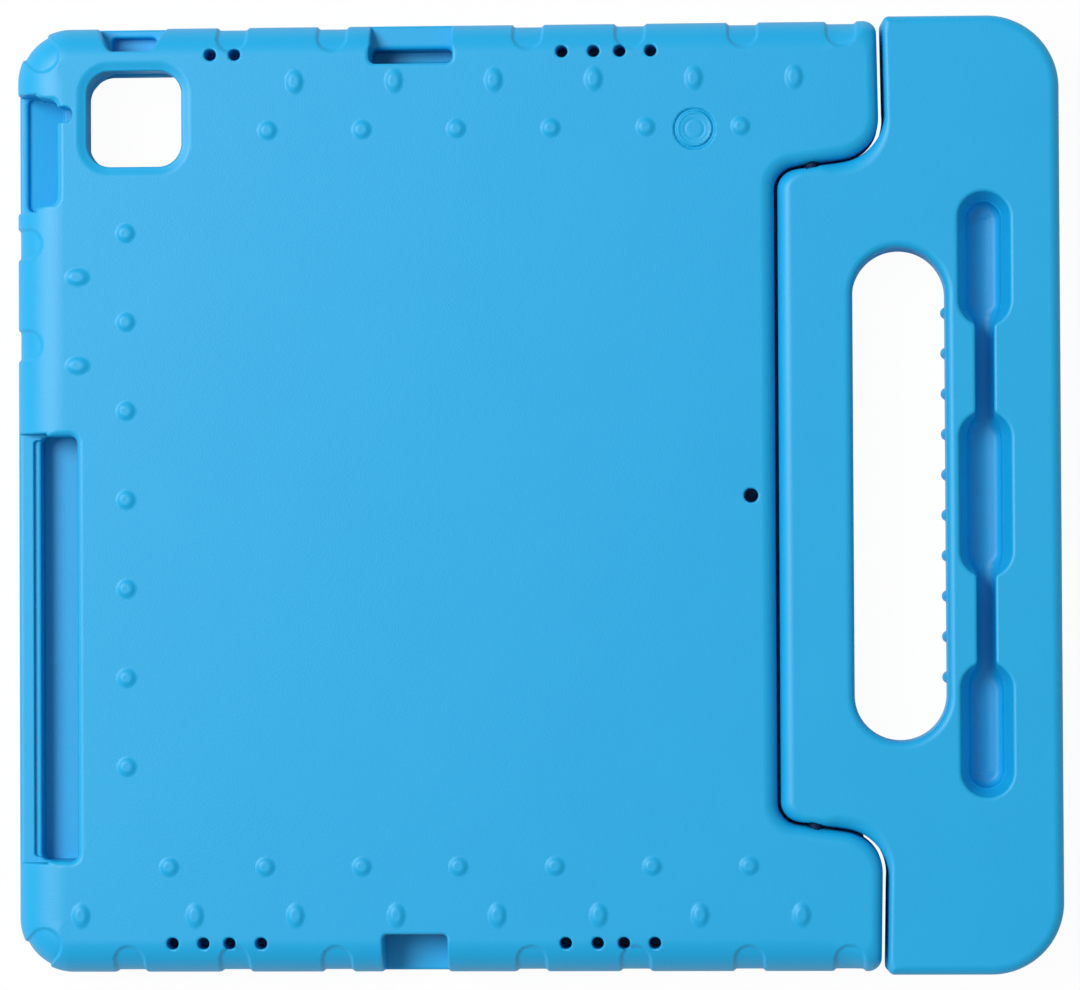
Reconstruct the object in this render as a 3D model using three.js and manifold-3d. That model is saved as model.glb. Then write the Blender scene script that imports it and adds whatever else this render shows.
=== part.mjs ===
// A children's foam tablet case with a hinged carry handle, lying screen side down.
// Millimetres, +Z up: the back of the case faces up, and the front lip rests on z = 0.
// The origin is the centre of the bounding box's bottom. +X runs from the case to the handle,
// and +Y to the edge that the tablet's power button is on.
import * as THREE from "three";
import { mergeVertices } from "three/addons/utils/BufferGeometryUtils.js";
import Module from "manifold-3d";

const wasm = await Module();
wasm.setup();

// Tablet that the case holds
const tabletWidth = 214.9;
const tabletHeight = 280.6;
const tabletThickness = 6.4;
const tabletCorner = 18;
const bayPlay = 0.5;

// Case walls and edges
const wallOuter = 20.7;
const wallInner = 9.2;
const wallEnd = 12.25;
const lipThickness = 4.8;
const lipOverlapSide = 2;
const lipOverlapEnd = 4;
const lipCorner = 8;
const lipRound = 2;
const backThickness = 10.3;
const caseCorner = 17.5;
const caseBackRound = 11;
const caseSideReach = 16.5;
const caseFrontRound = 5;

// Handle, and the parting line between it and the case
const handleWidth = 90;
const handleRise = 0.65;
const handleCorner = 23.2;
const handleRound = 3.3;
const partingGap = 1.1;
const shoulderGap = 2.1;
const neckLength = 210.4;
const neckCorner = 6.5;
const neckEndSlope = 8.5;
const neckBackRound = 4.5;
const neckFrontRound = 9.8;
const neckEndRound = 4.8;
const neckCornerFront = 5.5;
const neckFade = 15;
const shoulderReach = 34.5;
const shoulderCurve = 16;
const shoulderRound = 1.6;
const shoulderCorner = 2;
const shoulderTaper = 1.7;
const shoulderFlare = 0.9;
const earCorner = 4.6;
const earRound = 3.6;
const seatLipReach = 1.7;
const seatLipBottom = 0.6;
const seatLipTop = 2;
const seatLipInside = 3;
const seatLipPast = 5.5;

// Hinge: a pin in each ear turns in a sleeve at each end of the neck
const hingeInset = 11;
const hingeDrop = 5.5;
const pinDiameter = 4;
const pinGrip = 17;
const pinEndClearance = 0.6;
const sleeveDiameter = 7;
const sleeveLength = 18;
const fitGap = 0.3;

// Hand slot and its finger nubs
const slotLength = 157.7;
const slotInset = 23.2;
const slotToTrough = 4.2;
const slotRound = 2.6;
const nubCount = 10;
const nubPitch = 13;
const nubReach = 1.7;
const nubWidth = 4.6;
const nubHeight = 9;
const nubLevel = 9;

// Stylus trough
const troughInset = 24.2;
const stylusDiameter = 8.9;
const troughPlay = 0.5;
const troughLength = 193;
const pocketWidth = 16.2;
const pocketFloorWidth = 10;
const pocketDepth = 13.5;
const pocketStepWidth = 11.8;
const pocketStepHeight = 6;
const neckGapWidth = 5.9;
const middlePocketLength = 52.4;
const endPocketLength = 42.6;
const pocketRound = 1.2;

// Camera window
const cameraWidth = 30.6;
const cameraFromTop = 31.35;
const cameraFromSide = 38.9;
const cameraCorner = 7.5;
const cameraRound = 1.8;

// Cut-outs in the walls, as distances from the tablet's centre and edges
const powerWidth = 22;
const powerFloorWidth = 14.6;
const powerOffset = -90.5;
const powerLand = 4.2;
const powerRimWidth = 2.6;
const powerRimTop = 9;
const powerHoleInset = 1;
const linkWidth = 26.1;
const linkOffset = 0.2;
const linkPocket = 4.4;
const linkLedgeTop = 13;
const portWidth = 20.9;
const portOffset = 0.4;
const volumeLength = 38.5;
const volumeCentre = 112.1;
const volumeLand = 6.6;
const volumeRimWidth = 2.9;
const volumeRimTop = 8;
const volumeNotchLength = 5;
const volumeNotchDepth = 5.2;
const volumeNotchCentre = 124.5;
const buttonHoleHeight = 3.6;
const buttonHoleInset = 3;
const chargeLength = 136.7;
const chargeCentre = -48;
const chargeRimWidth = 5.5;
const chargeRimTop = 14;
const chargeStepWidth = 1.9;
const chargeStepTop = 12;
const shellOverhang = 0.5;
const edgeBite = 0.4;
const rimOverrun = 0.8;
const cutCorner = 2.4;

// Sound holes, at the same offsets from the tablet's centre at both ends
const soundDiameter = 3.8;
const soundOutset = 2.5;
const soundOffsets = [48.9, 59.1, 67.5, 77.4];
const soundOffsetsTopLeft = [-64.4, -56.6];
const soundChannelHeight = 5.2;
const micDiameter = 4.5;
const micOutset = 1.4;

// Round badge
const badgeDiameter = 12.6;
const badgeFromSide = 25.3;
const badgeFromTop = 35;
const badgeDepth = 0.5;
const badgeRingWidth = 1.1;

// Raised grip dots: rows of [count, first, pitch], measured from the tablet's centre
const dotDiameter = 6.6;
const dotRise = 1;
const dotFromEnd = 34.3;
const dotFromSide = 36.2;
const dotsTop = [6, -45.9, 30.4];
const dotsBottom = [7, -78.4, 31];
const dotsSide = [7, -86.1, 28.6];
const ovalWidth = 6.2;
const ovalLength = 8.6;
const ovalFromEnd = 18.7;
const ovalFromSide = 20.6;
const ovalsTop = [6, -37.2, 32.1];
const ovalsBottom = [7, -70.2, 32.4];
const ovalCornerOffset = -107;
const ovalsSide = [2, 43, 28.5];

// Shallow scallops over the outer edges, measured from the tablet's centre
const scallopWidth = 10.6;
const scallopReach = 9.4;
const scallopDepth = 0.8;
const scallopsTop = [-57.7, -25.3, 37.8, 70.7, 106.8, 138.3];
const scallopsBottom = [-91.7, -57.7, -24.7, 37.8, 71.1, 107.5, 139.5];
const scallopsSide = [82.5, 49.8];
const cornerScallopWidth = 12;
const cornerScallopReach = 11.7;
const cornerScallopDepth = 1.5;

// Facets
const arcSteps = 8;
const roundSteps = 5;
const dotSteps = 10;
const turnedSteps = 16;
const scallopSteps = 5;
const reach = 60;

// Sizes that follow from those above
const caseThickness = lipThickness + tabletThickness + bayPlay + backThickness;
const bayTop = caseThickness - backThickness;
const caseWidth = wallOuter + tabletWidth + wallInner;
const caseHalf = tabletHeight / 2 + wallEnd;
const handleHalf = caseHalf + handleRise;
const caseLeft = -(caseWidth + partingGap + handleWidth) / 2;
const caseRight = caseLeft + caseWidth;
const tabletLeft = caseLeft + wallOuter;
const tabletX = tabletLeft + tabletWidth / 2;
const tabletRight = tabletLeft + tabletWidth;
const tabletHalf = tabletHeight / 2;
const neckX = caseRight + partingGap;
const neckHalf = neckLength / 2;
const shoulderX = neckX + shoulderReach;
const handleRight = neckX + handleWidth;
const hingeX = neckX + hingeInset;
const hingeZ = caseThickness - hingeDrop;
const troughX = handleRight - troughInset;
const slotLeft = neckX + slotInset;
const slotWidth = troughX - pocketWidth / 2 - slotToTrough - slotLeft;
const slotX = slotLeft + slotWidth / 2;
const slope = THREE.MathUtils.degToRad(neckEndSlope);
const neckBendX = neckX + neckCorner;
const neckBendY = neckEndLine(neckBendX, -neckCorner);
const shoulderBendX = shoulderX - shoulderCurve;

// Height at x of a line beside the neck's sloped end, at a distance out from it.
function neckEndLine(x, out) {
  return neckHalf + (out + (x - hingeX) * Math.sin(slope)) / Math.cos(slope);
}

// Points along an arc from angle a to angle b, in degrees, each with its outward normal.
function arc(cx, cy, r, a, b, outward = 1, steps = arcSteps) {
  return Array.from({ length: steps + 1 }, (_, i) => {
    const t = THREE.MathUtils.degToRad(a + ((b - a) * i) / steps);
    const n = [Math.cos(t), Math.sin(t)];
    return { x: cx + r * n[0], y: cy + r * n[1], nx: outward * n[0], ny: outward * n[1] };
  });
}

// A rectangle with round corners, counterclockwise, each point with its outward normal.
function roundRect(x0, y0, x1, y1, r, steps = arcSteps) {
  return [
    ...arc(x1 - r, y1 - r, r, 0, 90, 1, steps),
    ...arc(x0 + r, y1 - r, r, 90, 180, 1, steps),
    ...arc(x0 + r, y0 + r, r, 180, 270, 1, steps),
    ...arc(x1 - r, y0 + r, r, 270, 360, 1, steps),
  ];
}

// A closed solid through loops of points that all have the same count.
function loft(loops) {
  const count = loops[0].length;
  const position = loops.flat(2);
  const index = [];
  const cap = THREE.ShapeUtils.triangulateShape(loops[0].map(([x, y]) => new THREE.Vector2(x, y)), []);
  const last = (loops.length - 1) * count;
  for (const [a, b, c] of cap) {
    index.push(c, b, a);
  }
  for (let k = 0; k < loops.length - 1; k++) {
    for (let i = 0; i < count; i++) {
      const j = (i + 1) % count;
      const [a, b] = [k * count + i, k * count + j];
      index.push(a, b, b + count, a, b + count, a + count);
    }
  }
  const lid = THREE.ShapeUtils.triangulateShape(loops.at(-1).map(([x, y]) => new THREE.Vector2(x, y)), []);
  for (const [a, b, c] of lid) {
    index.push(last + a, last + b, last + c);
  }
  const geometry = new THREE.BufferGeometry();
  geometry.setAttribute("position", new THREE.Float32BufferAttribute(position, 3));
  geometry.setIndex(index);
  return geometry;
}

// The outline as a plate from z0 to z1, with quarter rounds on its bottom and top edges.
// A point may carry its own rounds, a flare of the wall towards its foot, and a spread that widens
// its top round inwards. A negative round flares the edge outwards.
function plate(outline, z0, z1, bottom, top, steps = roundSteps) {
  const loops = [];
  const level = (side, t) =>
    outline.map((p) => {
      const r = side < 0 ? (p.bottom ?? bottom) : (p.top ?? top);
      const inset = r * (1 - Math.cos(t));
      const lift = Math.abs(r) * (1 - Math.sin(t));
      const z = side < 0 ? z0 + lift : z1 - lift;
      const move = side < 0 ? inset - (p.flare ?? 0) : inset * (p.spread ?? 1);
      return [p.x - p.nx * move, p.y - p.ny * move, z];
    });
  const rounded = (size, key) => size !== 0 || outline.some((p) => p[key]);
  const bottomSteps = rounded(bottom, "bottom") ? steps : 0;
  const topSteps = rounded(top, "top") ? steps : 0;
  for (let i = bottomSteps; i >= 0; i--) {
    loops.push(level(-1, bottomSteps ? (Math.PI / 2) * (i / bottomSteps) : 0));
  }
  return loops.concat(
    Array.from({ length: topSteps + 1 }, (_, i) => level(1, topSteps ? (Math.PI / 2) * (i / topSteps) : 0)),
  );
}

// A closed solid, ready for joins and cuts.
function solidFrom(geometry) {
  geometry.deleteAttribute("normal");
  geometry.deleteAttribute("uv");
  const merged = mergeVertices(geometry, 1e-4);
  return new wasm.Manifold(
    new wasm.Mesh({
      numProp: 3,
      vertProperties: merged.attributes.position.array,
      triVerts: new Uint32Array(merged.index.array),
    }),
  );
}

const plateSolid = (...args) => solidFrom(loft(plate(...args)));

// A cutter that opens a face: its round flares out to z1 and then runs on past it.
function topCutter(outline, z0, z1, round) {
  const loops = plate(outline, z0, z1, 0, -round);
  loops.push(loops.at(-1).map(([x, y, z]) => [x, y, z + reach]));
  return solidFrom(loft(loops));
}

// The same for the face that lies on the table.
function bottomCutter(outline, z0, z1, round) {
  const loops = plate(outline, z0, z1, -round, 0);
  loops.unshift(loops[0].map(([x, y, z]) => [x, y, z - reach]));
  return solidFrom(loft(loops));
}

// The outline swept by a disc of radius r from one point to another.
function capsule(x0, y0, x1, y1, r, steps = arcSteps) {
  const along = THREE.MathUtils.radToDeg(Math.atan2(y1 - y0, x1 - x0));
  return [
    ...arc(x1, y1, r, along - 90, along + 90, 1, steps),
    ...arc(x0, y0, r, along + 90, along + 270, 1, steps),
  ];
}

const disc = (x, y, r, steps = 2 * arcSteps) => arc(x, y, r, 0, 360, 1, steps).slice(0, -1);
const corners = (...points) => points.map(([x, y]) => ({ x, y, nx: 0, ny: 0 }));
const cutAll = (body, cutters) => cutters.reduce((left, cutter) => left.subtract(cutter), body);
const joinAll = (solids) => solids.reduce((joined, next) => joined.add(next));
const series = ([count, first, pitch]) => Array.from({ length: count }, (_, i) => first + i * pitch);

// Gives each point its own edge rounds, which change evenly from one end of the run to the other.
function withRounds(points, [top0, top1], [bottom0, bottom1]) {
  return points.map((p, i) => {
    const t = points.length > 1 ? i / (points.length - 1) : 0;
    return { ...p, top: top0 + (top1 - top0) * t, bottom: bottom0 + (bottom1 - bottom0) * t };
  });
}

// The whole parting line from its upper half, which runs upwards from the middle.
function mirrored(upper) {
  const lower = upper.map((p) => ({ ...p, y: -p.y, ny: -p.ny })).reverse();
  return [...lower, ...upper];
}

// Everything to the left of the parting line: it leaves the case its inner face and its two ears.
function caseSide() {
  const earBend = shoulderCurve - shoulderGap;
  const tipX = shoulderX - shoulderGap - shoulderTaper - earCorner;
  const upper = [
    ...withRounds(
      arc(neckBendX, neckBendY, neckCorner + partingGap, 180, 90 + neckEndSlope, -1),
      [neckBackRound, neckBackRound],
      [shoulderRound, shoulderRound],
    ),
    ...withRounds(
      arc(shoulderBendX, neckEndLine(shoulderBendX, partingGap + earBend), earBend, neckEndSlope - 90, 0),
      [neckEndRound, earRound],
      [shoulderRound, earRound],
    ),
    ...withRounds(arc(tipX, caseHalf - earCorner, earCorner, 0, 90), [earRound, earRound], [earRound, earRound]),
    { x: tipX - 1, y: caseHalf + reach, nx: 0, ny: 0, top: earRound, bottom: earRound },
  ];
  const far = corners([caseLeft - reach, caseHalf + reach], [caseLeft - reach, -caseHalf - reach]);
  return plateSolid([...mirrored(upper), ...far], 0, caseThickness, earRound, earRound);
}

// Everything to the right of the parting line: it gives the handle its neck and shoulders.
function handleSide() {
  const flared = (points) => points.map((p, i) => ({ ...p, flare: (shoulderFlare * i) / (points.length - 1) }));
  const tip = { top: shoulderRound, bottom: shoulderRound, flare: shoulderFlare };
  const upper = [
    { x: neckX, y: neckBendY - neckFade, nx: -1, ny: 0, top: neckBackRound, bottom: neckFrontRound },
    ...withRounds(
      arc(neckBendX, neckBendY, neckCorner, 180, 90 + neckEndSlope),
      [neckBackRound, neckEndRound],
      [neckCornerFront, shoulderRound],
    ),
    ...flared(
      withRounds(
        arc(
          shoulderBendX,
          neckEndLine(shoulderBendX, shoulderCurve),
          shoulderCurve,
          neckEndSlope - 90,
          0,
          -1,
        ),
        [neckEndRound, shoulderRound],
        [shoulderRound, shoulderRound],
      ),
    ),
    ...arc(shoulderX - shoulderTaper + shoulderCorner, handleHalf - shoulderCorner, shoulderCorner, 180, 90).map(
      (p) => ({ ...p, ...tip }),
    ),
    { x: shoulderX + shoulderCorner, y: handleHalf + reach, nx: 0, ny: 0, ...tip },
  ];
  const far = corners([handleRight + reach, -handleHalf - reach], [handleRight + reach, handleHalf + reach]);
  return plateSolid([...mirrored(upper).reverse(), ...far], 0, caseThickness, shoulderRound, shoulderRound);
}

// The case's outer form, shrunk all round by a depth. Its right end runs on past the parting line.
function caseForm(depth = 0) {
  const outline = roundRect(
    caseLeft + depth,
    -caseHalf + depth,
    caseRight + shoulderReach + reach,
    caseHalf - depth,
    caseCorner - depth,
  );
  const wide = outline.map((p) => {
    const across = p.nx < 0 ? p.nx * p.nx : 0;
    return { ...p, spread: 1 + (caseSideReach / caseBackRound - 1) * across };
  });
  return plateSolid(wide, 0, caseThickness - depth, caseFrontRound - depth, caseBackRound - depth);
}

// Scallops over the outer edges: each takes a thin layer off where its round-ended strip crosses the edge.
function scallops() {
  const inset = scallopReach - scallopWidth / 2;
  const out = scallopWidth;
  const strips = [];
  for (const x of scallopsTop) {
    strips.push(capsule(tabletX + x, caseHalf - inset, tabletX + x, caseHalf + out, scallopWidth / 2, scallopSteps));
  }
  for (const x of scallopsBottom) {
    strips.push(capsule(tabletX + x, -caseHalf + inset, tabletX + x, -caseHalf - out, scallopWidth / 2, scallopSteps));
  }
  for (const y of scallopsSide) {
    strips.push(capsule(caseLeft + inset, y, caseLeft - out, y, scallopWidth / 2, scallopSteps));
  }
  const [cx, cy] = [caseLeft + caseCorner, caseHalf - caseCorner];
  const near = (caseCorner - cornerScallopReach + cornerScallopWidth / 2) * Math.SQRT1_2;
  const cornerStrips = [1, -1].map((side) => {
    const away = near + cornerScallopWidth;
    const [y0, y1] = [side * (cy + near), side * (cy + away)];
    return capsule(cx - near, y0, cx - away, y1, cornerScallopWidth / 2, scallopSteps);
  });
  const tall = (outlines) => joinAll(outlines.map((outline) => plateSolid(outline, -1, caseThickness + 1, 0, 0)));
  return [
    tall(strips).subtract(caseForm(scallopDepth)),
    tall(cornerStrips).subtract(caseForm(cornerScallopDepth)),
  ];
}

// The tablet's bay and the screen window through the front lip.
function bay() {
  const room = roundRect(tabletLeft, -tabletHalf, tabletRight, tabletHalf, tabletCorner);
  const view = roundRect(
    tabletLeft + lipOverlapSide,
    -tabletHalf + lipOverlapEnd,
    tabletRight - lipOverlapSide,
    tabletHalf - lipOverlapEnd,
    lipCorner,
  );
  return [
    plateSolid(room, lipThickness, bayTop, 0, 0),
    bottomCutter(view, 0, lipThickness + bayPlay, lipRound),
  ];
}

function cameraWindow() {
  const x = caseLeft + cameraFromSide;
  const y = caseHalf - cameraFromTop;
  const half = cameraWidth / 2;
  const outline = roundRect(x - half, y - half, x + half, y + half, cameraCorner);
  return topCutter(outline, bayTop - 1, caseThickness, cameraRound);
}

// A notch through an end wall, from the outer face in to a depth past the tablet's edge line, its sides
// flaring from the inner width to the full one.
function endNotch(x, width, innerWidth, side, land, bottom) {
  const inner = side * (tabletHalf + land);
  const outer = side * (caseHalf + reach);
  const flare = (width - innerWidth) / 2;
  const edge = side * caseHalf;
  const half = innerWidth / 2;
  const shape = [
    [x - half, inner],
    [x + half, inner],
    [x + half + flare, edge],
    [x + half + flare, outer],
    [x - half - flare, outer],
    [x - half - flare, edge],
  ];
  const outline = corners(...(side > 0 ? shape : shape.reverse()));
  return plateSolid(outline, bottom, caseThickness + reach, 0, 0);
}

// A block with its corners at two opposite points.
function block(x0, y0, z0, x1, y1, z1) {
  const box = new THREE.BoxGeometry(x1 - x0, y1 - y0, z1 - z0);
  box.translate((x0 + x1) / 2, (y0 + y1) / 2, (z0 + z1) / 2);
  return solidFrom(box);
}

// Cut-outs for the power button, the keyboard contacts and the charging port.
function endCutouts() {
  const mid = lipThickness + tabletThickness / 2;
  const powerX = tabletX + powerOffset;
  const half = powerFloorWidth / 2 - powerHoleInset;
  const low = mid - buttonHoleHeight / 2;
  const well = (x, width, y0, y1) =>
    block(x - width / 2, y0, lipThickness, x + width / 2, y1, caseThickness + reach);
  return [
    endNotch(powerX, powerWidth, powerFloorWidth, 1, powerLand, powerRimTop),
    well(powerX, powerFloorWidth, tabletHalf + powerLand, caseHalf - powerRimWidth),
    block(powerX - half, tabletHalf - 1, low, powerX + half, tabletHalf + powerLand + 1, low + buttonHoleHeight),
    endNotch(tabletX + linkOffset, linkWidth, linkWidth, 1, linkPocket - 1, linkLedgeTop),
    well(tabletX + linkOffset, linkWidth, tabletHalf - edgeBite, tabletHalf + linkPocket),
    endNotch(tabletX + portOffset, portWidth, portWidth, -1, -edgeBite, lipThickness),
  ];
}

// Cut-outs on the long outer side: the volume buttons, and the place where a stylus clings to the tablet.
function sideCutouts() {
  const mid = lipThickness + tabletThickness / 2;
  const low = mid - buttonHoleHeight / 2;
  const top = caseThickness + reach;
  const landX = tabletLeft - volumeLand;
  const [v0, v1] = [volumeCentre - volumeLength / 2, volumeCentre + volumeLength / 2];
  const [n0, n1] = [volumeNotchCentre - volumeNotchLength / 2, volumeNotchCentre + volumeNotchLength / 2];
  const [c0, c1] = [chargeCentre - chargeLength / 2, chargeCentre + chargeLength / 2];
  const rimCut = (y0, y1, z, inner) => block(caseLeft - reach, y0 - rimOverrun, z, inner, y1 + rimOverrun, top);
  return [
    plateSolid(roundRect(caseLeft + volumeRimWidth, v0, landX, v1, cutCorner), lipThickness, top, 0, 0),
    rimCut(v0, v1, volumeRimTop, (caseLeft + landX) / 2),
    block(landX - 1, v0 + buttonHoleInset, low, tabletLeft + 1, v1 - buttonHoleInset, low + buttonHoleHeight),
    block(landX - 1, n0, low, landX + volumeNotchDepth, n1, top),
    plateSolid(
      roundRect(caseLeft + chargeRimWidth + chargeStepWidth, c0, tabletLeft - shellOverhang, c1, cutCorner),
      lipThickness,
      top,
      0,
      0,
    ),
    block(
      caseLeft + chargeRimWidth,
      c0 + cutCorner,
      chargeStepTop,
      (caseLeft + tabletLeft) / 2,
      c1 - cutCorner,
      top,
    ),
    block((caseLeft + tabletLeft) / 2, c0 + cutCorner, lipThickness + bayPlay, tabletLeft + edgeBite, c1 - cutCorner, bayTop),
    rimCut(c0, c1, chargeRimTop, (caseLeft + tabletLeft) / 2),
  ];
}

// Speaker and microphone holes, each group with a channel into the bay.
function soundHoles() {
  const [z0, z1] = [lipThickness + bayPlay, lipThickness + bayPlay + soundChannelHeight];
  const groups = [
    { side: 1, at: soundOffsets },
    { side: 1, at: soundOffsetsTopLeft },
    { side: -1, at: soundOffsets },
    { side: -1, at: soundOffsets.map((x) => -x) },
  ];
  const r = soundDiameter / 2;
  const cutters = groups.flatMap(({ side, at }) => {
    const y = side * (tabletHalf + soundOutset);
    const inner = side * (tabletHalf - 1);
    const outer = y + side * r;
    const [x0, x1] = [tabletX + Math.min(...at) - r, tabletX + Math.max(...at) + r];
    return [
      ...at.map((x) => plateSolid(disc(tabletX + x, y, r, 10), z1 - 1, caseThickness + 1, 0, 0)),
      block(x0, Math.min(inner, outer), z0, x1, Math.max(inner, outer), z1),
    ];
  });
  const micX = tabletRight + micOutset;
  const micR = micDiameter / 2;
  return [
    ...cutters,
    plateSolid(disc(micX, 0, micR, 12), z1 - 1, caseThickness + 1, 0, 0),
    block(tabletRight - 1, -micR, z0, micX + micR, micR, z1),
  ];
}

// A round recess with a raised ring and a raised centre, left plain.
function badge() {
  const x = caseRight - badgeFromSide;
  const y = caseHalf - badgeFromTop;
  const r = badgeDiameter / 2;
  const floor = caseThickness - badgeDepth;
  const ring = (outer, inner) => {
    const wide = plateSolid(disc(x, y, outer), floor, caseThickness + 1, 0, 0);
    return wide.subtract(plateSolid(disc(x, y, inner), floor - 1, caseThickness + 2, 0, 0));
  };
  return [ring(r, r - badgeRingWidth), ring(r - 2 * badgeRingWidth, r - 3 * badgeRingWidth)];
}

// A low round-topped dot on the back, as wide and as long as given.
function dot(x, y, width, length) {
  const top = caseThickness;
  const ring = (share, z) =>
    arc(0, 0, 1, 0, 360, 1, dotSteps)
      .slice(0, -1)
      .map((p) => [x + (p.nx * width * share) / 2, y + (p.ny * length * share) / 2, z]);
  return solidFrom(
    loft([ring(1, top - dotRise), ring(1, top), ring(0.87, top + 0.6 * dotRise), ring(0.55, top + dotRise)]),
  );
}

function gripDots() {
  const roundY = caseHalf - dotFromEnd;
  const ovalY = caseHalf - ovalFromEnd;
  return [
    ...series(dotsTop).map((x) => dot(tabletX + x, roundY, dotDiameter, dotDiameter)),
    ...series(dotsBottom).map((x) => dot(tabletX + x, -roundY, dotDiameter, dotDiameter)),
    ...series(dotsSide).map((y) => dot(caseLeft + dotFromSide, y, dotDiameter, dotDiameter)),
    ...series(ovalsTop).map((x) => dot(tabletX + x, ovalY, ovalWidth, ovalLength)),
    ...series(ovalsBottom).map((x) => dot(tabletX + x, -ovalY, ovalWidth, ovalLength)),
    ...series(ovalsSide).map((y) => dot(caseLeft + ovalFromSide, y, ovalLength, ovalWidth)),
    dot(tabletX + ovalCornerOffset, -ovalY, ovalWidth, ovalLength),
  ];
}

// A round hole along Y at the hinge, from one y to another.
function hingeBore(diameter, from, to) {
  const tool = new THREE.CylinderGeometry(diameter / 2, diameter / 2, Math.abs(to - from), 16);
  tool.translate(hingeX, (from + to) / 2, hingeZ);
  return solidFrom(tool);
}

// A thin lip along the foot of the case's inner face, which reaches in under the neck's rounded edge.
function seatLip() {
  const half = neckBendY + seatLipPast;
  return block(caseRight - seatLipInside, -half, seatLipBottom, caseRight + seatLipReach, half, seatLipTop);
}

function caseShell() {
  const pinEnd = neckHalf + partingGap + pinGrip + fitGap;
  const bore = pinDiameter + 2 * fitGap;
  const blank = caseForm().intersect(caseSide());
  const open = cutAll(blank, [
    ...scallops(),
    ...bay(),
    cameraWindow(),
    ...endCutouts(),
    ...sideCutouts(),
    ...soundHoles(),
    ...badge(),
    hingeBore(bore, neckHalf, pinEnd),
    hingeBore(bore, -neckHalf, -pinEnd),
  ]);
  return joinAll([open, seatLip(), ...gripDots()]);
}

// The stylus trough: a round channel under a narrow mouth, with three pockets that open it up.
function trough() {
  const r = (stylusDiameter + troughPlay) / 2;
  const floor = caseThickness - pocketDepth;
  const channel = new THREE.CylinderGeometry(r, r, troughLength - pocketWidth, 16);
  channel.translate(troughX, 0, floor + r);
  const half = troughLength / 2;
  const mouth = block(
    troughX - neckGapWidth / 2,
    -half + pocketWidth,
    floor + r,
    troughX + neckGapWidth / 2,
    half - pocketWidth,
    caseThickness + 1,
  );
  const pocket = (y, length) => {
    const run = (length - pocketWidth) / 2;
    const upper = capsule(troughX, y - run, troughX, y + run, pocketWidth / 2);
    const loops = plate(upper, floor, caseThickness, 0, -pocketRound);
    const level = (width, z) => {
      const inset = (pocketWidth - width) / 2;
      return upper.map((p) => [p.x - p.nx * inset, p.y - p.ny * inset, z]);
    };
    loops.splice(0, 1, level(pocketFloorWidth, floor), level(pocketStepWidth, floor + pocketStepHeight));
    loops.push(loops.at(-1).map(([x, py, z]) => [x, py, z + 1]));
    return solidFrom(loft(loops));
  };
  const endY = half - endPocketLength / 2;
  return [
    solidFrom(channel),
    mouth,
    pocket(0, middlePocketLength),
    pocket(endY, endPocketLength),
    pocket(-endY, endPocketLength),
  ];
}

// Soft nubs on the slot's outer wall, one under each finger joint.
function nubs() {
  const wallX = slotX + slotWidth / 2;
  return series([nubCount, (-(nubCount - 1) * nubPitch) / 2, nubPitch]).map((y) => {
    const nub = new THREE.SphereGeometry(1, 8, 6);
    nub.scale(nubReach, nubWidth / 2, nubHeight / 2);
    nub.translate(wallX, y, nubLevel);
    return solidFrom(nub);
  });
}

function handSlot() {
  const run = (slotLength - slotWidth) / 2;
  const outline = capsule(slotX, -run, slotX, run, slotWidth / 2);
  const loops = plate(outline, 0, caseThickness, -slotRound, -slotRound);
  loops.unshift(loops[0].map(([x, y, z]) => [x, y, z - 1]));
  loops.push(loops.at(-1).map(([x, y, z]) => [x, y, z + 1]));
  return solidFrom(loft(loops));
}

function carryHandle() {
  const outline = roundRect(neckX - reach, -handleHalf, handleRight, handleHalf, handleCorner);
  const blank = plateSolid(outline, 0, caseThickness, handleRound, handleRound).intersect(handleSide());
  const bore = sleeveDiameter + 2 * fitGap;
  const boreEnd = neckHalf - sleeveLength - 2 * fitGap;
  const open = cutAll(blank, [
    handSlot(),
    hingeBore(bore, neckHalf + 1, boreEnd),
    hingeBore(bore, -neckHalf - 1, -boreEnd),
  ]);
  return cutAll(joinAll([open, ...nubs()]), trough());
}

// Profiles of the turned hinge pieces: radii, and distances out from the neck's end.
const pinProfile = () => {
  const [r, edge] = [pinDiameter / 2, pinDiameter / 8];
  const [low, high] = [-(sleeveLength - pinEndClearance), partingGap + pinGrip];
  return [
    [0, low],
    [r - edge, low],
    [r, low + edge],
    [r, high - edge],
    [r - edge, high],
    [0, high],
  ];
};

const sleeveProfile = () => {
  const [inner, outer] = [pinDiameter / 2 + fitGap, sleeveDiameter / 2];
  const [low, high] = [-sleeveLength - fitGap, -2 * fitGap];
  return [
    [inner, low],
    [outer, low],
    [outer, high],
    [inner, high],
    [inner, low],
  ];
};

// Finishes
const foam = new THREE.MeshStandardMaterial({ color: 0x3aade5, roughness: 0.78, metalness: 0 });
const hingePlastic = new THREE.MeshStandardMaterial({ color: 0x2b3a44, roughness: 0.5, metalness: 0 });

function meshFrom(solid, name, material) {
  const { vertProperties, triVerts, numProp } = solid.getMesh();
  const flat = new Float32Array((vertProperties.length / numProp) * 3);
  for (let i = 0; i < flat.length / 3; i++) {
    flat.set(vertProperties.subarray(i * numProp, i * numProp + 3), i * 3);
  }
  const geometry = new THREE.BufferGeometry();
  geometry.setAttribute("position", new THREE.BufferAttribute(flat, 3));
  geometry.setIndex(new THREE.BufferAttribute(triVerts, 1));
  geometry.computeVertexNormals();
  const mesh = new THREE.Mesh(geometry, material);
  mesh.name = name;
  return mesh;
}

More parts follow.
